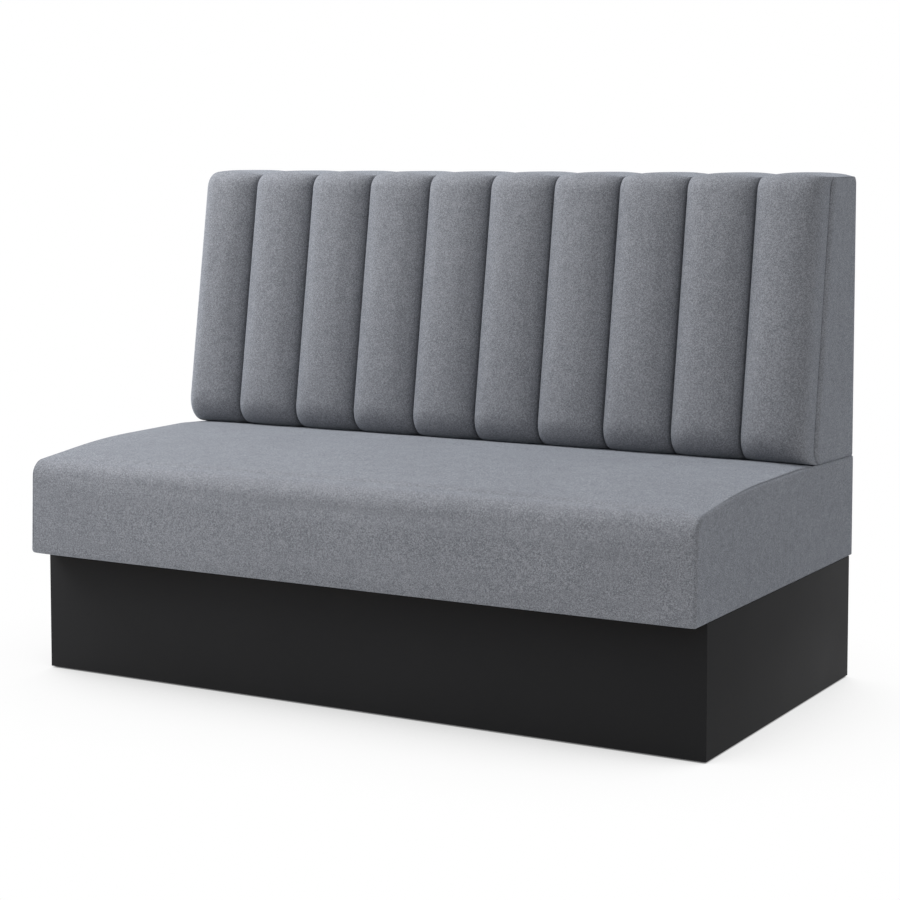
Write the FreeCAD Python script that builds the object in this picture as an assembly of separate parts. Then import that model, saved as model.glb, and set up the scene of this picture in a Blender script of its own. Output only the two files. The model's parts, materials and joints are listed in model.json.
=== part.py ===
"""Free-standing restaurant booth seat, single sided, with a channelled high back.

X runs along the seat, Y from the front (minus) to the rear (plus), Z up.
The origin is on the floor, in the middle of the booth's outline. Millimetres.
"""
import math
import os

import FreeCAD
import Part

os.makedirs("parts", exist_ok=True)

# Overall sizes
overall_width = 1500.0
overall_depth = 826.0
plinth_height = 251.0
foot_height = 3.0
seat_module_height = 208.0
back_height = 585.0

# Boards and skins
board = 18.0
seat_board = 12.0
face_board = 12.0
rear_board = 9.0
riser_board = 15.0
cover_skin = 2.5
side_cover = 6.0
rear_cover = 3.0

# Plinth
plinth_front_setback = 58.0
plinth_rear_setback = 15.0
plinth_side_setback = 2.0
plinth_rib_height = 200.0
corner_block_side = 62.0
corner_block_height = 60.0
plinth_bays = 4
plinth_rib_names = ("left", "middle", "right")
plinth_rib_steps = (-1, 0, 1)

# Levelling feet
foot_inset = 26.0
foot_pad_diameter = 25.0
foot_pad_bevel = 0.6
stem_diameter = 8.0
stem_length = 45.0
stem_clearance = 0.1
stem_well_clearance = 0.8
stem_well_spare = 6.0
insert_flange_diameter = 15.0
insert_flange = 1.5
insert_diameter = 11.0
insert_length = 15.0

# Seat frame
front_padding = 9.5
deck_height = 118.0
bearing_depth = 193.0
seat_bays = 3
under_flap = 30.0
foam_gap = 0.2

# Seat screws into the plinth ribs
screw_diameter = 5.0
screw_length = 50.0
screw_head_diameter = 10.0
screw_head_height = 3.0
screw_row_pitch = 190.0
screw_row_steps = (-1, 0, 1)

# Seat cushion outline, at the side seams and at the middle of its crown
front_lean = 6.0
roll_drop = 17.0
roll_crown = 5.0
roll_radius = 27.0
roll_crown_radius = 42.0
shoulder_run = 225.0
shoulder_crown_run = 10.0
shoulder_rise = 6.0
shoulder_crown = 11.0
shoulder_radius = 1600.0
shoulder_crown_radius = 1900.0
crest_setback = 313.0
crest_rise = 7.0
crest_crown = 10.0
crest_radius = 400.0
tuck_setback = 238.0
tuck_rise = 5.0
tuck_crown = 4.5
tuck_radius = 25.0
joint_rise = 4.5
hem_radius = 3.0
seat_crown_power = 4.0
seat_section_shares = (0.0, 0.4, 0.7, 0.87, 0.95, 0.985, 1.0)

# Back frame
toe_setback = 163.0
toe_rise = 35.0
top_padding = 29.0
face_reach = 200.0
back_bays = 3
face_lean_share = 0.148
reach_height = 88.0

# Back bolts into the riser
bolt_diameter = 8.0
bolt_length = 42.0
bolt_head_diameter = 16.0
bolt_head_height = 5.0
bolt_setback = 90.0
tee_flange_diameter = 22.0
tee_flange = 1.5
tee_barrel_diameter = 10.5
tee_barrel_length = 9.0

# Channels of the back
channel_count = 10
end_channel_width = 144.0
channel_power = 2.4
end_flank_power = 3.2
channel_flank_shares = (0.0, 0.03, 0.1, 0.24)
end_flank_shares = (0.0, 0.003, 0.013, 0.035, 0.08, 0.16, 0.29)
channel_middle_share = 0.5

# Back outline at the side seams, at the sewn grooves and on the crown of a channel
side_reach = 217.0
side_foot_radius = 36.0
side_drop = 12.0
side_top_radius = 28.0
groove_reach = 253.0
groove_foot_radius = 42.0
groove_foot_rise = 14.0
groove_drop = 6.0
groove_top_radius = 31.0
crown_reach = 298.0
crown_foot_radius = 60.0
crown_foot_rise = 20.0
crown_drop = 0.0
crown_top_radius = 42.0
rear_edge_radius = 13.0

# Places that follow from the sizes
half_width = overall_width / 2
front_y = -overall_depth / 2
rear_y = overall_depth / 2
floor_z = 0.0
plinth_bottom = foot_height
seat_bottom = plinth_bottom + plinth_height
bearing_z = seat_bottom + seat_module_height
top_z = bearing_z + back_height
panel_x = half_width - side_cover
frame_x = panel_x - board
rib_pitch = 2 * frame_x / plinth_bays
seat_rib_offset = frame_x / seat_bays
back_rib_offset = (panel_x - board / 2) / back_bays
bolt_near = back_rib_offset / 2
bolt_far = 2 * back_rib_offset
channel_pitch = (overall_width - 2 * end_channel_width) / (channel_count - 2)
rail_front = front_y + cover_skin + front_padding
rail_rear = rear_y - cover_skin
bearing_y = rear_y - bearing_depth
joint_slope = joint_rise / bearing_depth
deck_top = seat_bottom + deck_height
deck_bottom = deck_top - seat_board
riser_top = bearing_z - cover_skin
riser_bottom = riser_top - riser_board


def vector(x, y, z):
    return FreeCAD.Vector(x, y, z)


def slab(x0, x1, y0, y1, z0, z1):
    """A board with square edges between two corners."""
    return Part.makeBox(x1 - x0, y1 - y0, z1 - z0, vector(x0, y0, z0))


def plan_prism(points, z0, z1):
    """A board cut to an outline seen from above."""
    corners = [vector(x, y, z0) for x, y in points]
    outline = Part.makePolygon(corners + corners[:1])
    return Part.Face(outline).extrude(vector(0, 0, z1 - z0))


def side_prism(points, x0, x1):
    """A board cut to an outline seen from the side."""
    corners = [vector(x0, y, z) for y, z in points]
    outline = Part.makePolygon(corners + corners[:1])
    return Part.Face(outline).extrude(vector(x1 - x0, 0, 0))


def rod(x, y, z0, z1, diameter):
    """An upright round bar."""
    return Part.makeCylinder(diameter / 2, z1 - z0, vector(x, y, z0))


def rounded_outline(x, corners):
    """A closed wire across X through corners (y, z, radius), each rounded by an arc."""
    count = len(corners)
    points = [vector(x, y, z) for y, z, radius in corners]
    edges = []
    turns = []
    for i in range(count):
        here = points[i]
        radius = corners[i][2]
        if not radius:
            turns.append((here, None, here))
            continue
        arriving = (here - points[i - 1]).normalize()
        leaving = (points[(i + 1) % count] - here).normalize()
        half_turn = arriving.getAngle(leaving) / 2
        inward = (leaving - arriving).normalize()
        run = radius * math.tan(half_turn)
        to_centre = math.hypot(radius, run)
        middle = here + inward * (to_centre - radius)
        turns.append((here - arriving * run, middle, here + leaving * run))
    for i in range(count):
        start, middle, end = turns[i]
        if middle is not None:
            edges.append(Part.Arc(start, middle, end).toShape())
        following = turns[(i + 1) % count][0]
        edges.append(Part.makeLine(end, following))
    return Part.Wire(edges)


def blend(a, b, share):
    """The value a given share of the way from a to b."""
    return a + (b - a) * share


def crown_share(position, power):
    """Height of a padded crown, from 0 at its edges to 1 at its middle."""
    return max(0, 1 - abs(position) ** power) ** (1 / power)


def across(half):
    """X places of the cushion's sections, closer together towards its ends."""
    right = [half * share for share in seat_section_shares]
    return [-x for x in reversed(right[1:])] + right


def cushion_corners(share, skin):
    """Top and front corners of the seat cushion, from its rear to its front hem."""
    lean = front_lean * (1 - share)
    roll_y = front_y + lean + skin
    roll_z = bearing_z - roll_drop + roll_crown * share - skin
    tuck_z = bearing_z + tuck_rise + tuck_crown * share - skin
    crest_z = bearing_z + crest_rise + crest_crown * share - skin
    shoulder_y = front_y + shoulder_run + shoulder_crown_run * share
    shoulder_z = bearing_z + shoulder_rise + shoulder_crown * share - skin
    roll = blend(roll_radius, roll_crown_radius, share) - skin
    shoulder = blend(shoulder_radius, shoulder_crown_radius, share)
    return [
        (bearing_y, bearing_z - skin, 0),
        (rear_y - tuck_setback, tuck_z, tuck_radius),
        (rear_y - crest_setback, crest_z, crest_radius),
        (shoulder_y, shoulder_z, shoulder),
        (roll_y, roll_z, roll),
    ]


def loft(sections):
    """A smooth closed solid through its sections."""
    return Part.makeLoft(sections, True, False)


def save(name, shape):
    """Writes one piece and says how large it is."""
    good = shape.isValid()
    solids = len(shape.Solids)
    shape.exportStep(f"parts/{name}.step")
    print(f"{name}: {solids} solid, valid {good}, {shape.Volume / 1000:.1f} cm3")


def levelling_feet():
    """Four screwed feet in the plinth's corner blocks, with their inserts."""
    foot_x = half_width - plinth_side_setback - foot_inset
    places = {
        "front_left": (-foot_x, front_y + plinth_front_setback + foot_inset),
        "front_right": (foot_x, front_y + plinth_front_setback + foot_inset),
        "rear_left": (-foot_x, rear_y - plinth_rear_setback - foot_inset),
        "rear_right": (foot_x, rear_y - plinth_rear_setback - foot_inset),
    }
    block_bottom = plinth_bottom + insert_flange
    block_top = block_bottom + corner_block_height
    inner_x = half_width - plinth_side_setback - board
    inner_front = front_y + plinth_front_setback + board
    inner_rear = rear_y - plinth_rear_setback - board
    stem_top = plinth_bottom + stem_length
    inserts = []
    for corner, (x, y) in places.items():
        pad = rod(x, y, floor_z, plinth_bottom, foot_pad_diameter)
        pad = pad.makeChamfer(foot_pad_bevel, pad.Edges)
        save(f"foot_pad_{corner}", pad)
        save(f"foot_stem_{corner}", rod(x, y, plinth_bottom, stem_top, stem_diameter))
        flange = rod(x, y, plinth_bottom, block_bottom, insert_flange_diameter)
        barrel = rod(x, y, block_bottom, block_bottom + insert_length, insert_diameter)
        bore = rod(x, y, plinth_bottom, block_top, stem_diameter + 2 * stem_clearance)
        inserts.append(flange.fuse(barrel).removeSplitter().cut(bore))
        block_x = -inner_x if x < 0 else inner_x - corner_block_side
        block_y = inner_front if y < 0 else inner_rear - corner_block_side
        block = slab(block_x, block_x + corner_block_side,
                     block_y, block_y + corner_block_side, block_bottom, block_top)
        well = rod(x, y, block_bottom, stem_top + stem_well_spare,
                   stem_diameter + 2 * stem_well_clearance)
        save(f"corner_block_{corner}", block.cut(barrel).cut(well))
    save("foot_inserts", Part.makeCompound(inserts))


def screw_places():
    """Places of the screws that hold the seat down on the plinth ribs."""
    return [(step * rib_pitch, row * screw_row_pitch)
            for step in plinth_rib_steps for row in screw_row_steps]


def drilled(shape, places, z0, z1, diameter):
    """The shape with an upright hole at each place."""
    for x, y in places:
        shape = shape.cut(rod(x, y, z0, z1, diameter))
    return shape


def plinth():
    """Black plinth with mitred front corners, and the ribs inside it."""
    x = half_width - plinth_side_setback
    front = front_y + plinth_front_setback
    rear = rear_y - plinth_rear_setback
    z0 = plinth_bottom
    z1 = seat_bottom
    front_outline = [(-x, front), (x, front), (x - board, front + board),
                     (-x + board, front + board)]
    side_outline = [(x, front), (x, rear), (x - board, rear), (x - board, front + board)]
    mirrored = [(-px, py) for px, py in reversed(side_outline)]
    save("plinth_front_panel", plan_prism(front_outline, z0, z1))
    save("plinth_right_panel", plan_prism(side_outline, z0, z1))
    save("plinth_left_panel", plan_prism(mirrored, z0, z1))
    save("plinth_rear_panel", slab(-x + board, x - board, rear - board, rear, z0, z1))
    for name, step in zip(plinth_rib_names, plinth_rib_steps):
        middle = step * rib_pitch
        rib = slab(middle - board / 2, middle + board / 2, front + board, rear - board,
                   z1 - plinth_rib_height, z1)
        rib = drilled(rib, screw_places(), z1 + seat_board - screw_length, z1, screw_diameter)
        save(f"plinth_rib_{name}", rib)


def seat_frame():
    """Boards of the seat box, with the riser that carries the back."""
    z0 = seat_bottom
    rail_back = rail_front + board
    riser_front = bearing_y + board
    floor_top = z0 + seat_board
    panel = [(rail_front, z0 + cover_skin), (rail_back, z0 + cover_skin), (rail_back, z0),
             (rail_rear, z0), (rail_rear, riser_bottom), (bearing_y, riser_bottom),
             (bearing_y, deck_bottom), (rail_front, deck_bottom)]
    save("seat_right_panel", side_prism(panel, frame_x, panel_x))
    save("seat_left_panel", side_prism(panel, -panel_x, -frame_x))
    save("seat_front_rail", slab(-frame_x, frame_x, rail_front, rail_back,
                                 z0 + cover_skin, deck_bottom))
    save("seat_rear_rail", slab(-frame_x, frame_x, rail_rear - board, rail_rear,
                                z0, riser_bottom))
    base = slab(-frame_x, frame_x, rail_back, rail_rear - board, z0, floor_top)
    save("seat_base_board", drilled(base, screw_places(), z0, floor_top, screw_diameter))
    for name, x in (("left", -seat_rib_offset), ("right", seat_rib_offset)):
        save(f"seat_rib_{name}", slab(x - board / 2, x + board / 2, rail_back, bearing_y,
                                      floor_top, deck_bottom))
    save("seat_deck", slab(-panel_x, panel_x, rail_front, bearing_y, deck_bottom, deck_top))
    save("riser_rail", slab(-frame_x, frame_x, bearing_y, riser_front,
                            floor_top, riser_bottom))
    riser = slab(-panel_x, panel_x, bearing_y, rail_rear, riser_bottom, riser_top)
    riser = drilled(riser, bolt_places(), riser_bottom, riser_top, tee_barrel_diameter)
    save("riser_board", riser)
    screws = []
    for x, y in screw_places():
        head = rod(x, y, floor_top, floor_top + screw_head_height, screw_head_diameter)
        shank = rod(x, y, floor_top - screw_length, floor_top, screw_diameter)
        screws.append(head.fuse(shank))
    save("seat_screws", Part.makeCompound(screws))


def seat_upholstery():
    """Foam, the cover from the rear over the top to the front hem, and the side covers."""
    z0 = seat_bottom
    hem = z0 + cover_skin
    foam_skin = cover_skin + foam_gap
    cover_sections = []
    foam_sections = []
    for x in across(panel_x):
        share = crown_share(x / panel_x, seat_crown_power)
        outside = cushion_corners(share, 0)
        inside = cushion_corners(share, cover_skin)
        cover_sections.append(rounded_outline(x, [
            (rear_y, z0, 0), (rear_y, bearing_z, 0), *outside,
            (front_y, z0, hem_radius), (front_y + under_flap, z0, 0),
            (front_y + under_flap, hem, 0), (front_y + cover_skin, hem, 0),
            *reversed(inside), (rail_rear, riser_top, 0), (rail_rear, z0, 0)]))
        foam_top = cushion_corners(share, foam_skin)
        foam_sections.append(rounded_outline(x, [
            *foam_top, (front_y + foam_skin, hem, 0), (rail_front, hem, 0),
            (rail_front, deck_top, 0), (bearing_y, deck_top, 0)]))
    cover = loft(cover_sections)
    cover = drilled(cover, bolt_places(), riser_top, bearing_z, bolt_diameter)
    save("seat_cover", cover)
    save("seat_foam", loft(foam_sections))
    outline = rounded_outline(0, [
        (rear_y, z0, 0), (rear_y, bearing_z, 0), (bearing_y, bearing_z + joint_rise, 0),
        *cushion_corners(0, 0)[1:], (front_y, z0, hem_radius)])
    side = Part.Face(outline).extrude(vector(side_cover, 0, 0))
    save("seat_right_cover", side.translated(vector(panel_x, 0, 0)))
    save("seat_left_cover", side.translated(vector(-half_width, 0, 0)))


def bolt_places():
    """Places of the bolts between the back and the riser."""
    y = rear_y - bolt_setback
    return [(x, y) for x in (-bolt_far, -bolt_near, bolt_near, bolt_far)]


def face_y(z):
    """Front of the slanted face board at a height."""
    return rear_y - face_reach + face_lean_share * (z - bearing_z - reach_height)


def back_frame():
    """Boards of the back, and the bolts that hold it down."""
    floor_top = bearing_z + board
    board_top = top_z - top_padding
    board_bottom = board_top - board
    toe_y = rear_y - toe_setback
    toe_top = floor_top + toe_rise
    inner_rear = rear_y - rear_cover - rear_board
    base = slab(-panel_x, panel_x, toe_y, inner_rear, bearing_z, floor_top)
    save("back_base_board", drilled(base, bolt_places(), bearing_z, floor_top, bolt_diameter))
    rib = [(toe_y, floor_top), (inner_rear, floor_top), (inner_rear, board_bottom),
           (face_y(board_bottom) + face_board, board_bottom),
           (face_y(toe_top) + face_board, toe_top)]
    half = board / 2
    middles = {"left_end": half - panel_x, "left": -back_rib_offset,
               "right": back_rib_offset, "right_end": panel_x - half}
    for name, x in middles.items():
        save(f"back_rib_{name}", side_prism(rib, x - half, x + half))
    face = [(face_y(toe_top), toe_top), (face_y(toe_top) + face_board, toe_top),
            (face_y(board_top) + face_board, board_top), (face_y(board_top), board_top)]
    save("back_face_board", side_prism(face, -panel_x, panel_x))
    cap = [(face_y(board_bottom) + face_board, board_bottom), (inner_rear, board_bottom),
           (inner_rear, board_top), (face_y(board_top) + face_board, board_top)]
    save("back_top_board", side_prism(cap, -panel_x, panel_x))
    save("back_rear_board", slab(-panel_x, panel_x, inner_rear, rear_y - rear_cover,
                                 bearing_z, board_top))
    save("back_rear_cover", slab(-panel_x, panel_x, rear_y - rear_cover, rear_y,
                                 bearing_z, board_top))
    bolts = []
    nuts = []
    for x, y in bolt_places():
        head = rod(x, y, floor_top, floor_top + bolt_head_height, bolt_head_diameter)
        shank = rod(x, y, floor_top - bolt_length, floor_top, bolt_diameter)
        bolts.append(head.fuse(shank))
        flange = rod(x, y, riser_bottom - tee_flange, riser_bottom, tee_flange_diameter)
        barrel = rod(x, y, riser_bottom, riser_bottom + tee_barrel_length, tee_barrel_diameter)
        nuts.append(flange.fuse(barrel).cut(shank))
    save("back_bolts", Part.makeCompound(bolts))
    save("back_tee_nuts", Part.makeCompound(nuts))


def back_section(x, reach, foot_radius, foot_rise, drop, top_radius):
    """Side outline of the back's padding at one place, wrapped round the frame."""
    board_top = top_z - top_padding
    floor_top = bearing_z + board
    toe_y = rear_y - toe_setback
    toe_top = floor_top + toe_rise
    height = top_z - drop
    foot_y = rear_y - reach - face_lean_share * reach_height
    head_y = foot_y + face_lean_share * (height - bearing_z)
    return rounded_outline(x, [
        (toe_y, bearing_z, 0), (foot_y, bearing_z + foot_rise, foot_radius),
        (head_y, height, top_radius), (rear_y, height, rear_edge_radius),
        (rear_y, board_top, 0), (face_y(board_top), board_top, 0),
        (face_y(toe_top), toe_top, 0), (toe_y, floor_top, 0)])


def back_upholstery():
    """Ten padded channels side by side, and the flat cover at each end."""
    foot_y = rear_y - side_reach - face_lean_share * reach_height
    foot_rise = joint_slope * (rear_y - foot_y)
    side = (side_reach, side_foot_radius, foot_rise, side_drop, side_top_radius)
    groove = (groove_reach, groove_foot_radius, groove_foot_rise, groove_drop, groove_top_radius)
    crown = (crown_reach, crown_foot_radius, crown_foot_rise, crown_drop, crown_top_radius)
    seams = [(i - channel_count / 2) * channel_pitch for i in range(channel_count + 1)]
    seams[0] = -panel_x
    seams[-1] = panel_x
    for i in range(channel_count):
        first = i == 0
        last = i == channel_count - 1
        left = side if first else groove
        right = side if last else groove
        low_flank = end_flank_shares if first else channel_flank_shares
        high_flank = end_flank_shares if last else channel_flank_shares
        shares = [*low_flank, channel_middle_share]
        shares += [1 - share for share in reversed(high_flank)]
        sections = []
        for share in shares:
            place = 2 * share - 1
            outer = first and place < 0 or last and place > 0
            bulge = crown_share(place, end_flank_power if outer else channel_power)
            sizes = []
            for a, b, c in zip(left, right, crown):
                sizes.append(blend(blend(a, b, share), c, bulge))
            sections.append(back_section(blend(seams[i], seams[i + 1], share), *sizes))
        save(f"channel_{i + 1:02d}", loft(sections))
    height = top_z - side_drop
    head_y = foot_y + face_lean_share * (height - bearing_z)
    outline = rounded_outline(0, [
        (rear_y, bearing_z, 0), (foot_y, bearing_z + foot_rise, side_foot_radius),
        (head_y, height, side_top_radius), (rear_y, height, rear_edge_radius)])
    end = Part.Face(outline).extrude(vector(side_cover, 0, 0))
    save("back_right_cover", end.translated(vector(panel_x, 0, 0)))
    save("back_left_cover", end.translated(vector(-half_width, 0, 0)))


levelling_feet()
plinth()
seat_frame()
seat_upholstery()
back_frame()
back_upholstery()
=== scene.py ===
# %% [markdown]
# # A restaurant booth seat
#
# This lesson dresses the working model of a restaurant booth in its real finishes.
# The booth is a single bench: a black plinth, a wide padded seat, and a high back
# sewn into ten upright channels. The wooden frame, the bolts and the feet come from
# the construction model and only need materials. Everything soft is modelled here.

# %% Tools and the construction model
import json
import math
import random

import bmesh
import bpy
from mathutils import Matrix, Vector


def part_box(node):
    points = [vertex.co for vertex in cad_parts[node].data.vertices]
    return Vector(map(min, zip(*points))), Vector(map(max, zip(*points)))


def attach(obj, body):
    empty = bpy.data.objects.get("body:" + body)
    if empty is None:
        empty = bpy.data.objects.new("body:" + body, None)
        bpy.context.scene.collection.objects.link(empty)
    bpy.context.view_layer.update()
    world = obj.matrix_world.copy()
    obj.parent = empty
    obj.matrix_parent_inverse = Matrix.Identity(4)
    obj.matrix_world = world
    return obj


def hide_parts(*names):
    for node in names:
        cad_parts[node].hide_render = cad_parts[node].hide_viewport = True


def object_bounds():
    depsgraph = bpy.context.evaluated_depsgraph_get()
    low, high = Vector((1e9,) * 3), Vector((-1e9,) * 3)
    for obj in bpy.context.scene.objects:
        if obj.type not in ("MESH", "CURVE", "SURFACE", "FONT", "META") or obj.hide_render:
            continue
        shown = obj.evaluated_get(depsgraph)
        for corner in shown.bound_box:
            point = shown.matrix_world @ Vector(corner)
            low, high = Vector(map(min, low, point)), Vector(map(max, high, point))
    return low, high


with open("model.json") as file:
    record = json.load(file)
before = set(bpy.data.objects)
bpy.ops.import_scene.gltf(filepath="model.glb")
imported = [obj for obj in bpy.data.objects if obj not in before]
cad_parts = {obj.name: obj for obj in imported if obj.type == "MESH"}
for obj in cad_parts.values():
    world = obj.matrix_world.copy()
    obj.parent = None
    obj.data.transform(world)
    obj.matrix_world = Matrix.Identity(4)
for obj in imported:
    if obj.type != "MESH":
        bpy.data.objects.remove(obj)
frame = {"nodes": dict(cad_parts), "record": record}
cad_low, cad_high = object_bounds()
nodes = frame["nodes"]
print(f"The frame has {len(nodes)} pieces and is {cad_high.z - cad_low.z:.3f} m high")

# %% [markdown]
# ## Sizes shared by the soft pieces
#
# Blender works in metres, so small sizes are easier to read as millimetres times MM.
# The outlines below are seen from the side, as (y, z) corners with a rounding radius.
# Rounding a corner by formula keeps each outline down to the few points it needs.
# Every section of a piece gets the same number of points, so sections can be joined.

# %% Shared sizes
MM = 0.001
half_width = cad_high.x
front_y = cad_low.y
rear_y = cad_high.y
seat_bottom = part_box("seat_base_board")[0].z
bearing_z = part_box("back_base_board")[0].z
top_z = cad_high.z
panel_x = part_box("seat_cover")[1].x
skin = 2.5 * MM


# %% Rounded outlines
def rounded(corners, steps, closed):
    """Points of an outline through corners (y, z, radius).

    steps gives, for each corner, the pieces of its arc and of the run after it."""
    count = len(corners)
    points = [Vector((y, z)) for y, z, radius in corners]
    bends = []
    for i, (here, corner) in enumerate(zip(points, corners)):
        radius = corner[2]
        if not radius:
            bends.append([here])
            continue
        arriving = (here - points[i - 1]).normalized()
        leaving = (points[(i + 1) % count] - here).normalized()
        half_turn = arriving.angle(leaving) / 2
        run = radius * math.tan(half_turn)
        inward = (leaving - arriving).normalized()
        centre = here + inward * math.hypot(radius, run)
        start = here - arriving * run - centre
        sign = math.copysign(1, arriving.x * leaving.y - arriving.y * leaving.x)
        arc = []
        for k in range(steps[i][0] + 1):
            angle = sign * 2 * half_turn * k / steps[i][0]
            turned = Vector((start.x * math.cos(angle) - start.y * math.sin(angle),
                             start.x * math.sin(angle) + start.y * math.cos(angle)))
            arc.append(centre + turned)
        bends.append(arc)
    outline = []
    for i, bend in enumerate(bends):
        outline += bend
        if i == count - 1 and not closed:
            break
        following = bends[(i + 1) % count][0]
        pieces = steps[i][1]
        for k in range(1, pieces):
            outline.append(bend[-1].lerp(following, k / pieces))
    return outline


# %% [markdown]
# ## Joining sections
#
# A padded piece is a row of outlines, one for each place across the booth. Blender's
# extrude operator does the joining: the newest outline is extruded, and the copy is
# moved to the next section. Each point carries its number along the outline in a
# layer, and the copy keeps that number, so it is plain where each point has to go.

# %% Sections to a mesh
def piece_from(name, bm, smooth=True):
    """A new object at the origin from a bmesh."""
    bmesh.ops.recalc_face_normals(bm, faces=bm.faces)
    mesh = bpy.data.meshes.new(name)
    bm.to_mesh(mesh)
    bm.free()
    for face in mesh.polygons:
        face.use_smooth = smooth
    piece = bpy.data.objects.new(name, mesh)
    bpy.context.scene.collection.objects.link(piece)
    return piece


def of_kind(geometry, kind):
    return [g for g in geometry if isinstance(g, kind)]


def joined(sections, closed):
    """A bmesh through the sections, each a list of points.

    Closed sections make a solid with a cap at each end, open ones make a sheet."""
    bm = bmesh.new()
    number = bm.verts.layers.int.new("number")
    ring = [bm.verts.new(point) for point in sections[0]]
    for i, vert in enumerate(ring):
        vert[number] = i
    if closed:
        newest = [bm.faces.new(ring)]
    else:
        newest = [bm.edges.new(pair) for pair in zip(ring, ring[1:])]
    for step, section in enumerate(sections[1:]):
        if closed:
            grown = bmesh.ops.extrude_face_region(bm, geom=newest)["geom"]
            if step:
                bmesh.ops.delete(bm, geom=newest, context="FACES_ONLY")
            newest = of_kind(grown, bmesh.types.BMFace)
        else:
            grown = bmesh.ops.extrude_edge_only(bm, edges=newest)["geom"]
            newest = [edge for edge in of_kind(grown, bmesh.types.BMEdge)
                      if edge.verts[0][number] != edge.verts[1][number]]
        for vert in of_kind(grown, bmesh.types.BMVert):
            vert.co = section[vert[number]]
    return bm


def placed(x, outline):
    """An outline of the side view as points at one place across the booth."""
    return [Vector((x, point.x, point.y)) for point in outline]


def padded_share(position, power):
    """Height of a padded crown, from 0 at its seams (-1 and 1) to 1 in the middle."""
    return max(0.0, 1 - abs(position) ** power) ** (1 / power)


def eased(steps):
    """Places from -1 to 1 that crowd together towards both seams."""
    return [-math.cos(math.pi * k / steps) for k in range(steps + 1)]


def crowded(steps, power):
    """Places from -1 to 1, even in the middle and closer together near the seams."""
    half = [1 - (1 - k / steps) ** power for k in range(steps + 1)]
    return [-t for t in reversed(half[1:])] + half


def blend(a, b, share):
    return a + (b - a) * share


# %% [markdown]
# ## The upholstery cloth
#
# The cloth is a flat-woven blue-grey with a short nap. From a step away it is mottled
# in patches a few millimetres wide, and close up its threads cross about a millimetre
# apart. The mottling is noise in the object's own coordinates, so it has one scale on
# every piece. The weave is three crossed wave patterns, one for each way that a
# surface can face, mixed by the direction of the surface. Sheen gives the nap its pale
# bluish bloom where the cloth is seen at a low angle, as on the seat.

# %% Node helpers
def new_material(name):
    material = bpy.data.materials.new(name)
    material.use_nodes = True
    tree = material.node_tree
    return material, tree, tree.nodes["Principled BSDF"]


def add(tree, kind, **values):
    """A node, with its settings and the values of its inputs."""
    node = tree.nodes.new(kind)
    for key, value in values.items():
        if key in node.inputs:
            node.inputs[key].default_value = value
        else:
            setattr(node, key, value)
    return node


def maths(tree, operation, a, b=0.0):
    """A Math node on two sockets or numbers."""
    node = tree.nodes.new("ShaderNodeMath")
    node.operation = operation
    for socket, value in zip(node.inputs, (a, b)):
        if isinstance(value, (int, float)):
            socket.default_value = value
        else:
            tree.links.new(value, socket)
    return node.outputs[0]


def noise(tree, place, size, detail=2.0, roughness=0.5, distortion=0.0):
    """Noise whose patches are about size metres wide."""
    node = add(tree, "ShaderNodeTexNoise", Scale=1 / size, Detail=detail,
               Roughness=roughness, Distortion=distortion)
    tree.links.new(place, node.inputs["Vector"])
    return node.outputs["Fac"]


def ramp(tree, fac, stops):
    """A colour ramp with stops of (position, colour)."""
    node = tree.nodes.new("ShaderNodeValToRGB")
    elements = node.color_ramp.elements
    while len(elements) < len(stops):
        elements.new(0.5)
    for element, (position, colour) in zip(elements, stops):
        element.position = position
        element.color = (*colour, 1.0)
    tree.links.new(fac, node.inputs["Fac"])
    return node.outputs["Color"]


def bump(tree, height, distance, strength, normal=None):
    node = add(tree, "ShaderNodeBump", Strength=strength, Distance=distance)
    tree.links.new(height, node.inputs["Height"])
    if normal is not None:
        tree.links.new(normal, node.inputs["Normal"])
    return node.outputs["Normal"]


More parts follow.
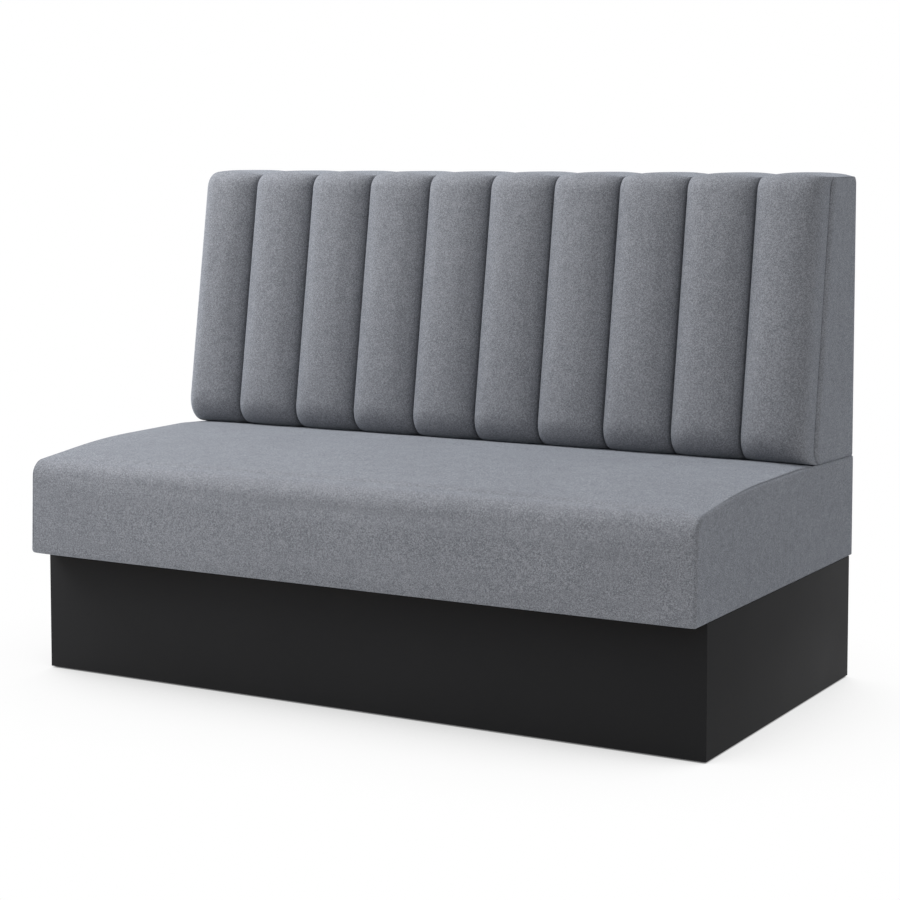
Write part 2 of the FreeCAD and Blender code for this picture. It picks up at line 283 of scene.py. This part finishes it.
# %% Upholstery cloth
def make_cloth(name, dark, middle, light):
    thread = 1.1 * MM
    material, tree, shader = new_material(name)
    links = tree.links
    place = add(tree, "ShaderNodeTexCoord").outputs["Object"]
    split = add(tree, "ShaderNodeSeparateXYZ")
    links.new(place, split.inputs[0])
    facing = add(tree, "ShaderNodeSeparateXYZ")
    links.new(add(tree, "ShaderNodeTexCoord").outputs["Normal"], facing.inputs[0])
    waves = [maths(tree, "SINE", maths(tree, "MULTIPLY", split.outputs[i], math.tau / thread))
             for i in range(3)]
    weave = None
    for i in range(3):
        crossed = maths(tree, "MULTIPLY", waves[(i + 1) % 3], waves[(i + 2) % 3])
        weight = maths(tree, "POWER", maths(tree, "ABSOLUTE", facing.outputs[i]), 3.0)
        part = maths(tree, "MULTIPLY", crossed, weight)
        weave = part if weave is None else maths(tree, "ADD", weave, part)
    mixed = maths(tree, "MULTIPLY", weave, 0.03)
    fleck = noise(tree, place, 3.4 * MM, detail=2.0, roughness=0.5, distortion=0.7)
    fine = noise(tree, place, 1.6 * MM, detail=1.0)
    patch = noise(tree, place, 26 * MM, detail=3.0, roughness=0.6)
    blotch = noise(tree, place, 260 * MM, detail=2.0)
    for layer, amount in ((fleck, 0.30), (fine, 0.56), (patch, 0.09), (blotch, 0.05)):
        mixed = maths(tree, "ADD", mixed, maths(tree, "MULTIPLY", layer, amount))
    colour = ramp(tree, mixed, [(0.4, dark), (0.5, middle), (0.6, light)])
    links.new(colour, shader.inputs["Base Color"])
    shader.inputs["Roughness"].default_value = 0.88
    shader.inputs["Specular IOR Level"].default_value = 0.22
    downy = add(tree, "ShaderNodeMapRange")
    for end, value in (("From Min", 0.4), ("From Max", 0.6), ("To Min", 0.28), ("To Max", 0.56)):
        downy.inputs[end].default_value = value
    links.new(mixed, downy.inputs["Value"])
    links.new(downy.outputs["Result"], shader.inputs["Sheen Weight"])
    shader.inputs["Sheen Roughness"].default_value = 0.42
    shader.inputs["Sheen Tint"].default_value = (0.78, 0.86, 1.0, 1.0)
    nap = noise(tree, place, 2.4 * MM, detail=2.0, roughness=0.6)
    under = bump(tree, nap, 0.6 * MM, 0.7)
    soft = bump(tree, patch, 2.2 * MM, 0.35, under)
    links.new(bump(tree, weave, 0.25 * MM, 0.4, soft), shader.inputs["Normal"])
    return material


cloth = make_cloth("upholstery_cloth", (0.130, 0.137, 0.155), (0.205, 0.213, 0.235),
                   (0.300, 0.310, 0.336))


# %% [markdown]
# ## Wood, laminate, nylon, steel and foam
#
# The plinth is faced with matt black laminate. It is nearly black, with a very fine
# grained surface that catches a dull light, and slight handling marks in its gloss.
# The hidden frame is birch plywood with a long grain, the feet are black nylon on zinc
# plated stems, and the seat foam is a pale open foam.

# %% Black laminate
def make_laminate():
    material, tree, shader = new_material("black_laminate")
    place = add(tree, "ShaderNodeTexCoord").outputs["Object"]
    grain = noise(tree, place, 1.6 * MM, detail=3.0, roughness=0.6)
    cloud = noise(tree, place, 180 * MM, detail=3.0)
    mixed = maths(tree, "ADD", maths(tree, "MULTIPLY", grain, 0.6),
                  maths(tree, "MULTIPLY", cloud, 0.4))
    colour = ramp(tree, mixed, [(0.3, (0.011, 0.011, 0.012)), (0.7, (0.017, 0.017, 0.018))])
    tree.links.new(colour, shader.inputs["Base Color"])
    rough = add(tree, "ShaderNodeMapRange")
    rough.inputs["From Min"].default_value = 0.3
    rough.inputs["From Max"].default_value = 0.7
    rough.inputs["To Min"].default_value = 0.66
    rough.inputs["To Max"].default_value = 0.76
    tree.links.new(mixed, rough.inputs["Value"])
    tree.links.new(rough.outputs["Result"], shader.inputs["Roughness"])
    shader.inputs["Specular IOR Level"].default_value = 0.16
    tree.links.new(bump(tree, grain, 0.12 * MM, 0.5), shader.inputs["Normal"])
    return material


laminate = make_laminate()


# %% Birch plywood
def make_plywood():
    material, tree, shader = new_material("birch_plywood")
    place = add(tree, "ShaderNodeTexCoord").outputs["Object"]
    stretched = add(tree, "ShaderNodeMapping")
    stretched.inputs["Scale"].default_value = (1.0, 14.0, 14.0)
    tree.links.new(place, stretched.inputs["Vector"])
    grain = noise(tree, stretched.outputs["Vector"], 90 * MM, 5.0, 0.65, 0.6)
    colour = ramp(tree, grain, [(0.3, (0.38, 0.25, 0.13)), (0.55, (0.56, 0.40, 0.23)),
                                (0.75, (0.66, 0.50, 0.31))])
    tree.links.new(colour, shader.inputs["Base Color"])
    shader.inputs["Roughness"].default_value = 0.62
    tree.links.new(bump(tree, grain, 0.4 * MM, 0.3), shader.inputs["Normal"])
    return material


plywood = make_plywood()


# %% Nylon, steel and foam
def make_grained(name, dark, light, size, rough, metal=0.0):
    """A plain moulded, plated or foamed surface with a fine grain."""
    material, tree, shader = new_material(name)
    place = add(tree, "ShaderNodeTexCoord").outputs["Object"]
    grain = noise(tree, place, size, detail=3.0, roughness=0.6)
    tree.links.new(ramp(tree, grain, [(0.3, dark), (0.7, light)]), shader.inputs["Base Color"])
    shader.inputs["Roughness"].default_value = rough
    shader.inputs["Metallic"].default_value = metal
    tree.links.new(bump(tree, grain, size / 8, 0.35), shader.inputs["Normal"])
    return material


nylon = make_grained("black_nylon", (0.012, 0.012, 0.012), (0.022, 0.022, 0.022), 1.2 * MM, 0.5)
steel = make_grained("zinc_steel", (0.50, 0.50, 0.49), (0.68, 0.68, 0.66), 3 * MM, 0.34, 1.0)
foam = make_grained("seat_foam", (0.62, 0.55, 0.36), (0.80, 0.74, 0.54), 1.4 * MM, 0.9)


# %% [markdown]
# ## Finishes of the construction pieces
#
# The frame, the fasteners and the feet keep the shapes of the construction model. Each
# gets the material that its record names, in its own material slot.

# %% Finishes from the record
finishes = {"plywood": plywood, "black_laminate": laminate, "black_nylon": nylon,
            "zinc_steel": steel, "cushion_foam": foam, "upholstery_fabric": cloth}
slot_of = {part["node"]: part["material_slot"] for part in frame["record"]["subparts"]}
for name, piece in nodes.items():
    piece.data.materials.clear()
    piece.data.materials.append(finishes[slot_of[name]])


# %% Finishing a soft piece
def upholster(piece, *replaced, fill=None):
    """Gives a piece the cloth and its body, and hides the construction pieces it stands for."""
    piece.data.materials.append(cloth)
    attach(piece, "booth")
    if replaced:
        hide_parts(*replaced)
    return piece


# %% [markdown]
# ## The seat cover
#
# The real cover is one wide panel. It starts under the front edge, runs up the flat
# front, rolls over the cushion, dips under the back and goes down the rear. The foam
# below it rises towards the back and is crowned, so the panel stands about a centimetre
# higher in its middle than at its side seams. It is modelled as an open sheet through
# sections, with the crown in each section. Its middle is firmer than a pillow, so the
# crown rises steeply at the seams and is nearly level between them. The sheet starts a
# little low, because the cloth swells when it is simulated further down. At the side
# seams its hem is rounder, which leaves room to ease the edge of the side panels.

# %% Seat outline
seat_crown_power = 4.0
seat_swell = 2.3 * MM
flap = 30 * MM
front_lean = 6 * MM
bearing_y = rear_y - 193 * MM
tuck_y = rear_y - 238 * MM
crest_y = rear_y - 313 * MM
joint_rise = 4.5 * MM
tuck_radius = 25 * MM
crest_radius = 400 * MM
# each pair is a size at the side seams and at the crown, in millimetres but for the
# first, the wide radius of the shoulder, which is in metres
shoulder_radius = (1.6, 1.9)
tuck_height = (213, 221)
crest_height = (215, 228)
shoulder_height = (214, 225)
shoulder_run = (225, 235)
roll_height = (191, 196)
roll_radius = (32, 42)
hem_radius = (8.5, 3)
seat_steps = [(1, 10), (1, 12), (1, 3), (4, 6), (5, 14), (12, 14), (12, 14), (3, 4), (1, 1)]


def seat_corners(share, low=0.0):
    """Corners of the seat's side outline, from its rear to its front hem.

    low takes that much off the top and the front, to leave room for the swelling."""
    front = front_y + front_lean * (1 - share) + low
    tuck = seat_bottom + blend(*tuck_height, share) * MM - low
    crest = seat_bottom + blend(*crest_height, share) * MM - low
    shoulder = seat_bottom + blend(*shoulder_height, share) * MM - low
    shoulder_y = front_y + blend(*shoulder_run, share) * MM
    roll = seat_bottom + blend(*roll_height, share) * MM - low
    return [
        (rear_y, bearing_z, 0),
        (bearing_y, bearing_z, 0),
        (tuck_y, tuck, tuck_radius),
        (crest_y, crest, crest_radius),
        (shoulder_y, shoulder, blend(*shoulder_radius, share)),
        (front, roll, blend(*roll_radius, share) * MM - low),
        (front_y, seat_bottom, blend(*hem_radius, share) * MM),
    ]


def seat_section(x):
    share = padded_share(x / panel_x, seat_crown_power)
    corners = [(rear_y, seat_bottom, 0), *seat_corners(share, seat_swell * share)]
    corners.append((front_y + flap, seat_bottom, 0))
    return placed(x, rounded(corners, seat_steps, closed=False))


# %% Seat cover
bm = joined([seat_section(panel_x * t) for t in crowded(64, 1.6)], closed=False)
seat_cover = upholster(piece_from("seat_cover_panel", bm), "seat_cover", fill=0.85)
# The cloth swells along its normals, so those of an open sheet have to point outwards.
highest = max(seat_cover.data.polygons, key=lambda face: face.center.z)
if highest.normal.z < 0:
    seat_cover.data.flip_normals()
print(f"The seat cover has {len(seat_cover.data.polygons)} faces")


# %% [markdown]
# ## Channels of the back
#
# A channel back is sewn in strips: a seam, a roll of foam, and the next seam. Seen from
# above, a roll is fuller than half an ellipse, so its flanks drop steeply into the
# seams. Seen from the side it leans back, tucks under at the seat and wraps over the
# top. Each channel blends between two side outlines, one at its seams and one at its
# fullest, by a share that follows the roll's shape. Over the top the foam is rounder,
# so the height there follows a plain curve, fuller in the outer half of an end channel.

# %% Back outlines
channel_count = 10
end_channel_width = 144 * MM
channel_pitch = (half_width - end_channel_width) * 2 / (channel_count - 2)
channel_power = 2.4
end_flank_power = 3.6
top_power = 2
end_top_power = 3.5
channel_swell = 3 * MM
lean_share = 0.148
reach_height = 88 * MM
rear_edge_radius = 13 * MM
face_board = 12 * MM
board_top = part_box("back_top_board")[1].z
face_low, face_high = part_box("back_face_board")
base_low, base_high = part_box("back_base_board")
side_reach = 217 * MM
side_foot_rise = joint_rise * (side_reach + lean_share * reach_height) / (rear_y - bearing_y)
# each is the reach, the foot's radius and height, the drop below the top and the top radius
side_sizes = (side_reach, 36 * MM, side_foot_rise, 8 * MM, 28 * MM)
groove_sizes = (253 * MM, 42 * MM, 20 * MM, 9 * MM, 31 * MM)
crown_sizes = (298 * MM - channel_swell, 60 * MM, 20 * MM, 1 * MM, 42 * MM)


def back_corners(reach, foot_radius, foot_rise, drop, top_radius):
    """Corners of the back's padding, from the seat up and over to the rear."""
    foot = rear_y - reach - lean_share * reach_height
    height = top_z - drop
    head = foot + lean_share * (height - bearing_z)
    return [(foot, bearing_z + foot_rise, foot_radius), (head, height, top_radius),
            (rear_y, height, rear_edge_radius)]


# The visible cloth runs from the first corner's arc to the rear edge's arc.
cloth_steps = [(16, 34), (12, 10), (6, 2)]
first_free = 4
last_free = first_free + sum(cloth_steps[0]) + sum(cloth_steps[1])


def channel_outline(sizes):
    corners = [(base_low.y, bearing_z, 0), *back_corners(*sizes),
               (rear_y, board_top, 0), (face_high.y - face_board, board_top, 0),
               (face_low.y, face_low.z, 0), (base_low.y, base_high.z, 0)]
    steps = [(1, first_free), *cloth_steps, (1, 2), (1, 8), (1, 2), (1, 2)]
    return rounded(corners, steps, closed=True)


# %% Ten channels
channel_sections = 26
seam_gap = 0.7 * MM
end_gap = 0.1 * MM
seam_places = [(i - channel_count / 2) * channel_pitch for i in range(1, channel_count)]
seam_places = [-panel_x, *seam_places, panel_x]


def channel(number):
    """One padded roll, with the side seam at the outer edge of the first and last."""
    first = number == 0
    last = number == channel_count - 1
    low = seam_places[number] + (end_gap if first else seam_gap)
    high = seam_places[number + 1] - (end_gap if last else seam_gap)
    left = side_sizes if first else groove_sizes
    right = side_sizes if last else groove_sizes
    sections = []
    for t in eased(channel_sections):
        share = (t + 1) / 2
        outer_half = first and t < 0 or last and t > 0
        bulge = padded_share(t, end_flank_power if outer_half else channel_power)
        rounder = 1 - abs(t) ** (end_top_power if outer_half else top_power)
        bulges = (bulge, bulge, bulge, rounder, bulge)
        sizes = [blend(blend(a, b, share), c, part)
                 for a, b, c, part in zip(left, right, crown_sizes, bulges)]
        sections.append(placed(blend(low, high, share), channel_outline(sizes)))
    bm = joined(sections, closed=True)
    return upholster(piece_from(f"back_channel_{number + 1:02d}", bm),
                     f"channel_{number + 1:02d}", fill=0.85)


channels = [channel(number) for number in range(channel_count)]
print(f"Each channel has {len(channels[0].data.polygons)} faces")


# %% [markdown]
# ## Stretching the cloth
#
# The covers are pulled tight over foam, and the foam pushes them out until the cloth
# holds it. Blender's cloth simulation does that with a pressure from inside. The seams,
# the hem and everything that rests on the frame are held in place, and the rest may
# swell by a few millimetres. The movement is eased off towards a limit, so that no
# point leaves the padding's real shape. The result is kept and the simulation is
# removed. Two runs agree to about a tenth of a millimetre at the end channels, and to a
# hundredth elsewhere, but not exactly.

# %% What holds the cloth
held_at_side = 2.5 * MM
held_at_bearing = 15 * MM
held_at_hem = 6 * MM
held_at_seam = 2 * MM
held_at_foot = 22 * MM


def hold(piece, is_held):
    group = piece.vertex_groups.new(name="held")
    group.add([vert.index for vert in piece.data.vertices if is_held(vert)], 1.0, "REPLACE")


def seat_is_held(vert):
    at_seam = abs(vert.co.x) > panel_x - held_at_side
    behind = vert.co.y > bearing_y - held_at_bearing
    return at_seam or behind or vert.co.z < seat_bottom + held_at_hem


def hold_channel(piece):
    numbers = piece.data.attributes["number"].data

    def is_held(vert):
        at_seam = min(abs(vert.co.x - x) for x in seam_places) < held_at_seam
        hidden = not first_free < numbers[vert.index].value < last_free
        return at_seam or hidden or vert.co.z < bearing_z + held_at_foot

    hold(piece, is_held)


# %% Cloth simulation
def swell(pieces, pressure, limit, frames=20):
    """Lets the free cloth of each piece swell, by no more than about the limit."""
    scene = bpy.context.scene
    for piece in pieces:
        simulated = piece.modifiers.new("swelling", "CLOTH")
        simulated.point_cache.frame_end = frames
        settings = simulated.settings
        settings.quality = 6
        settings.tension_stiffness = 15
        settings.compression_stiffness = 15
        settings.bending_stiffness = 0.5
        settings.use_pressure = True
        settings.uniform_pressure_force = pressure
        settings.effector_weights.gravity = 0
        settings.vertex_group_mass = "held"
    for number in range(1, frames + 1):
        scene.frame_set(number)
    graph = bpy.context.evaluated_depsgraph_get()
    for piece in pieces:
        swollen = [vert.co.copy() for vert in piece.evaluated_get(graph).data.vertices]
        piece.modifiers.remove(piece.modifiers["swelling"])
        outward = [vert.normal.copy() for vert in piece.data.vertices]
        steps = [(new - vert.co).dot(normal)
                 for new, vert, normal in zip(swollen, piece.data.vertices, outward)]
        for vert, normal, step in zip(piece.data.vertices, outward, steps):
            vert.co += normal * limit * math.tanh(max(step, 0.0) / limit)
        print(f"{piece.name} moved from {min(steps) / MM:.1f} to {max(steps) / MM:.1f} mm")
    scene.frame_set(1)


swell_limit = 5 * MM
hold(seat_cover, seat_is_held)
swell([seat_cover], pressure=0.35, limit=swell_limit)
for piece in channels:
    hold_channel(piece)
swell(channels, pressure=4.0, limit=swell_limit)


# %% Thickness of the seat cover
thickness = seat_cover.modifiers.new("thickness", "SOLIDIFY")
thickness.thickness = skin
thickness.offset = -1.0


# %% [markdown]
# ## Flat side covers
#
# Each end of the seat and of the back is a flat panel of the same cloth over thin
# padding. Its outline is made solid, inset a few times near its edge, and cut into a
# grid so that it can bend. Then each point of its face moves out by how far it lies
# from the edge: steeply at first, and not at all once past the rounding.

# %% Side covers
inset_shares = (0.06, 0.12, 0.2, 0.27, 0.35)
grid_pitch = 30 * MM


def distance_to(point, outline):
    """Shortest way from a point to a closed outline."""
    nearest = math.inf
    for start, end in zip(outline, outline[1:] + outline[:1]):
        along = end - start
        share = max(0.0, min(1.0, (point - start).dot(along) / along.length_squared))
        nearest = min(nearest, (point - start - along * share).length)
    return nearest


def cut_to_grid(bm, pitch):
    """Cuts a flat piece across Y and Z at every pitch."""
    for axis in (1, 2):
        places = [vert.co[axis] for vert in bm.verts]
        normal = Vector((0, 0, 0))
        normal[axis] = 1.0
        for k in range(math.ceil(min(places) / pitch), math.floor(max(places) / pitch) + 1):
            whole = [*bm.verts, *bm.edges, *bm.faces]
            bmesh.ops.bisect_plane(bm, geom=whole, dist=MM / 10,
                                   plane_co=normal * k * pitch, plane_no=normal)


def side_cover(name, outline, side, edge, *replaced):
    """A flat padded panel on one end. side is 1 on the right and -1 on the left.

    edge is how far its edge stands out, how wide its rounding is, and how full."""
    edge_depth, edge_rounding, edge_power = edge
    full_depth = half_width - panel_x
    bm = bmesh.new()
    back = bm.faces.new([bm.verts.new(point) for point in placed(side * panel_x, outline)])
    grown = bmesh.ops.extrude_face_region(bm, geom=[back])["geom"]
    lid = of_kind(grown, bmesh.types.BMFace)[0]
    for vert in lid.verts:
        vert.co.x = side * half_width
    for share in inset_shares:
        bmesh.ops.inset_region(bm, faces=[lid], thickness=edge_rounding * share)
    cut_to_grid(bm, grid_pitch)
    for vert in bm.verts:
        if abs(vert.co.x) > panel_x + MM:
            way_in = distance_to(Vector((vert.co.y, vert.co.z)), outline) / edge_rounding
            rise = padded_share(1 - min(way_in, 1.0), edge_power)
            vert.co.x = side * (panel_x + blend(edge_depth, full_depth, rise))
    return upholster(piece_from(name, bm), *replaced, fill=0.9)


back_side_corners = [(rear_y, bearing_z, 0), *back_corners(*side_sizes)]
back_side_outline = rounded(back_side_corners, [(1, 1), (14, 1), (10, 1), (6, 1)], closed=True)
seat_side_corners = [(rear_y, seat_bottom, 0), *seat_corners(0.0)]
seat_side_corners[2] = (bearing_y, bearing_z + joint_rise, 0)
seat_side_outline = rounded(seat_side_corners, [(1, 1), (1, 1), (1, 1), (4, 1), (4, 1), (8, 1),
                                                (10, 1), (3, 1)], closed=True)
# each is the depth at the edge, the width of the rounding and its fullness
seat_edge = (1.2 * MM, 8 * MM, 2.0)
back_edge = (0.5 * MM, 12 * MM, 1.5)
for side, word in ((1, "right"), (-1, "left")):
    side_cover(f"seat_{word}_side_cover", seat_side_outline, side, seat_edge,
               f"seat_{word}_cover")
    side_cover(f"back_{word}_side_cover", back_side_outline, side, back_edge,
               f"back_{word}_cover")


# %% [markdown]
# ## Seam ridges
#
# Where a flat end panel is sewn to the main panel, the seam allowances lie together
# below the cloth and lift it into a low ridge with a thin shadow on each side. Each
# ridge is a small flat oval drawn along the edge of the end panel, thinning out at its
# ends. Its height wanders a little, as it does over real stitches. On the back it shows
# only round the top corner, where the cloth is pulled hardest.

# %% Seam ridges
ridge_width = 2.8 * MM
ridge_offset = 0.9 * MM
seat_ridge_height = 2.2 * MM
back_ridge_height = 0.9 * MM
ridge_sink = 0.3 * MM
ridge_pitch = 7 * MM
ridge_points = 10
taper_steps = 4
hem_clearance = 9 * MM
joint_clearance = 2 * MM
back_ridge_reach = 55 * MM


def ridge(name, path, side, ridge_height, seed):
    """A low ridge along the edge of an end panel; path runs from the rear over the top."""
    chance = random.Random(seed)
    sections = []
    for i, point in enumerate(path):
        before = path[max(i - 1, 0)]
        after = path[min(i + 1, len(path) - 1)]
        along = (after - before).normalized()
        outward = Vector((0, along.y, -along.x))
        ease = min(1.0, (i + 0.3) / taper_steps, (len(path) - 0.7 - i) / taper_steps)
        height = ridge_height / 2 * chance.uniform(0.85, 1.1) * ease
        width = ridge_width / 2 * ease
        middle = Vector((side * (panel_x + ridge_offset), point.x, point.y))
        middle -= outward * ridge_sink
        section = []
        for k in range(ridge_points):
            angle = math.tau * k / ridge_points
            section.append(middle + Vector((width * math.cos(angle), 0, 0))
                           + outward * height * math.sin(angle))
        sections.append(section)
    return upholster(piece_from(name, joined(sections, closed=True)))


def spread(points, pitch):
    """The same path with points at an even pitch."""
    result = [points[0]]
    for start, end in zip(points, points[1:]):
        count = max(1, round((end - start).length / pitch))
        result += [start.lerp(end, k / count) for k in range(1, count + 1)]
    return result


seat_path = rounded([seat_side_corners[2], *seat_corners(0.0)[2:-1],
                     (front_y, seat_bottom + hem_clearance, 0)],
                    [(1, 1), (4, 1), (4, 1), (8, 1), (10, 1), (1, 1)], closed=False)
seat_path = spread(seat_path, ridge_pitch)
back_path = rounded([(rear_y, bearing_z + joint_clearance, 0),
                     *reversed(back_side_corners[1:]), (rear_y, bearing_z, 0)],
                    [(1, 1), (6, 1), (10, 1), (14, 1), (1, 1)], closed=False)
back_path = spread(back_path, ridge_pitch)
back_path = [point for point in back_path if point.y > top_z - back_ridge_reach]
rear_path = [Vector((rear_y, seat_bottom)), Vector((rear_y, bearing_z - joint_clearance))]
rear_path = spread(rear_path, ridge_pitch)
for side, word in ((1, "right"), (-1, "left")):
    ridge(f"seat_{word}_seam_ridge", seat_path, side, seat_ridge_height, 1 + side)
    ridge(f"back_{word}_seam_ridge", back_path, side, back_ridge_height, 2 + side)
    ridge(f"seat_{word}_rear_seam_ridge", rear_path, side, back_ridge_height, 5 + side)


# %% [markdown]
# ## Rear cover
#
# The rear of the back isn't in view in the photograph. It is finished as such booths
# are: one flat panel of the same cloth, pulled over the rear board.

# %% Rear cover
rear_edge_bevel = 1.2 * MM


def rear_cover():
    low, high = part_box("back_rear_cover")
    bm = bmesh.new()
    bmesh.ops.create_cube(bm, size=1.0)
    bmesh.ops.scale(bm, vec=high - low, verts=bm.verts)
    bmesh.ops.translate(bm, vec=(low + high) / 2, verts=bm.verts)
    bmesh.ops.bevel(bm, geom=bm.edges, offset=rear_edge_bevel, segments=3, profile=0.5,
                    affect="EDGES")
    return upholster(piece_from("back_rear_panel", bm), "back_rear_cover", fill=0.9)


rear_cover()


# %% [markdown]
# ## Plinth panels
#
# The construction model has the plinth's panels with their mitred front corners. A
# sawn and veneered edge is never perfectly sharp, and its fine rounding is what catches
# the light at the corners, so each panel is remade from its own shape with soft edges.

# %% Plinth panels
plinth_edge_radius = 0.5 * MM


def soft_edged(name, new_name, radius):
    """A construction board remade with rounded edges."""
    bm = bmesh.new()
    bm.from_mesh(nodes[name].data)
    bm.transform(nodes[name].matrix_world)
    bmesh.ops.remove_doubles(bm, verts=bm.verts, dist=MM / 100)
    bmesh.ops.dissolve_limit(bm, angle_limit=math.radians(1), verts=bm.verts, edges=bm.edges)
    bmesh.ops.bevel(bm, geom=bm.edges, offset=radius, segments=2, profile=0.5, affect="EDGES")
    piece = piece_from(new_name, bm)
    piece.data.set_sharp_from_angle(angle=math.radians(50))
    piece.data.materials.append(laminate)
    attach(piece, "booth")
    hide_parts(name)
    return piece


for word in ("front", "left", "right", "rear"):
    soft_edged(f"plinth_{word}_panel", f"plinth_{word}_board", plinth_edge_radius)


# %% [markdown]
# ## Floor, light and camera
#
# The booth stands on a plain white floor under a broad soft light from its upper left
# front, with an even white surround. The floor and the surround show as white to the
# camera through the light path, so no extra light falls on the booth for it. The
# floor's white is painted darker near the plinth, by how much of the sky is open to each
# place, which paints the soft contact shadow into its emission. The camera stands to the
# right of the booth and looks slightly down; a small downward shift of its lens keeps
# the uprights nearly parallel.

# %% Floor
# how far the painted floor shadow reaches, in metres, and its greys by how open the sky is
shadow_reach = 0.6
painted_shadow_greys = [(0.0, 0.06), (0.4, 0.7), (0.5, 0.81), (0.6, 0.91), (0.72, 0.975), (0.9, 1.0)]


def make_floor():
    bm = bmesh.new()
    bmesh.ops.create_grid(bm, x_segments=1, y_segments=1, size=60)
    floor = piece_from("floor", bm, smooth=False)
    material, tree, shader = new_material("white_floor_painted_shadow")
    links = tree.links
    path = add(tree, "ShaderNodeLightPath")
    seen = maths(tree, "MAXIMUM", path.outputs["Is Camera Ray"], path.outputs["Is Glossy Ray"])
    plain = add(tree, "ShaderNodeBsdfDiffuse", Color=(0.72, 0.72, 0.72, 1.0))
    # The floor's white emission is darkened near the plinth by ambient occlusion: a painted
    # contact shadow, seen by the camera and in reflections, not one cast by a lamp.
    open_sky = add(tree, "ShaderNodeAmbientOcclusion", samples=24, Distance=shadow_reach)
    shade = ramp(tree, open_sky.outputs["AO"], [(at, (grey,) * 3) for at, grey in painted_shadow_greys])
    glow_with_painted_shadow = add(tree, "ShaderNodeEmission")
    links.new(shade, glow_with_painted_shadow.inputs["Color"])
    mix = add(tree, "ShaderNodeMixShader")
    links.new(seen, mix.inputs[0])
    links.new(plain.outputs[0], mix.inputs[1])
    links.new(glow_with_painted_shadow.outputs[0], mix.inputs[2])
    links.new(mix.outputs[0], tree.nodes["Material Output"].inputs["Surface"])
    tree.nodes.remove(shader)
    floor.data.materials.append(material)


make_floor()


# %% Light
key_place = (-2.3, -0.9, 3.3)
key_size = 3.0
key_power = 152


def make_world():
    world = bpy.data.worlds.new("white_surround")
    bpy.context.scene.world = world
    world.use_nodes = True
    tree = world.node_tree
    path = add(tree, "ShaderNodeLightPath")
    seen = maths(tree, "MAXIMUM", path.outputs["Is Camera Ray"], path.outputs["Is Glossy Ray"])
    strength = add(tree, "ShaderNodeMapRange")
    strength.inputs["To Min"].default_value = 0.61
    strength.inputs["To Max"].default_value = 1.0
    tree.links.new(seen, strength.inputs["Value"])
    background = tree.nodes["Background"]
    background.inputs["Color"].default_value = (1.0, 1.0, 1.0, 1.0)
    tree.links.new(strength.outputs["Result"], background.inputs["Strength"])


def make_softbox(name, place, size, power):
    """A square light that faces the middle of the booth."""
    light = bpy.data.lights.new(name, "AREA")
    light.size = size
    light.energy = power
    lamp = bpy.data.objects.new(name, light)
    lamp.location = place
    towards_booth = Vector((0, 0, 0.5)) - Vector(place)
    lamp.rotation_mode = "QUATERNION"
    lamp.rotation_quaternion = towards_booth.to_track_quat("-Z", "Y")
    bpy.context.scene.collection.objects.link(lamp)


make_world()
make_softbox("key", key_place, key_size, key_power)

# %% Camera
camera_place = (2.226, -3.886, 1.083)
camera_turn = 29.56
camera_pitch = 4.45
camera_lens = 86.92
camera_shift = -0.14

view = bpy.data.cameras.new("camera")
view.lens = camera_lens
view.sensor_width = 36
view.shift_y = camera_shift
camera = bpy.data.objects.new("camera", view)
camera.location = camera_place
camera.rotation_euler = (math.radians(90 - camera_pitch), 0, math.radians(camera_turn))
bpy.context.scene.collection.objects.link(camera)
bpy.context.scene.camera = camera
bpy.context.scene.view_settings.view_transform = "Standard"
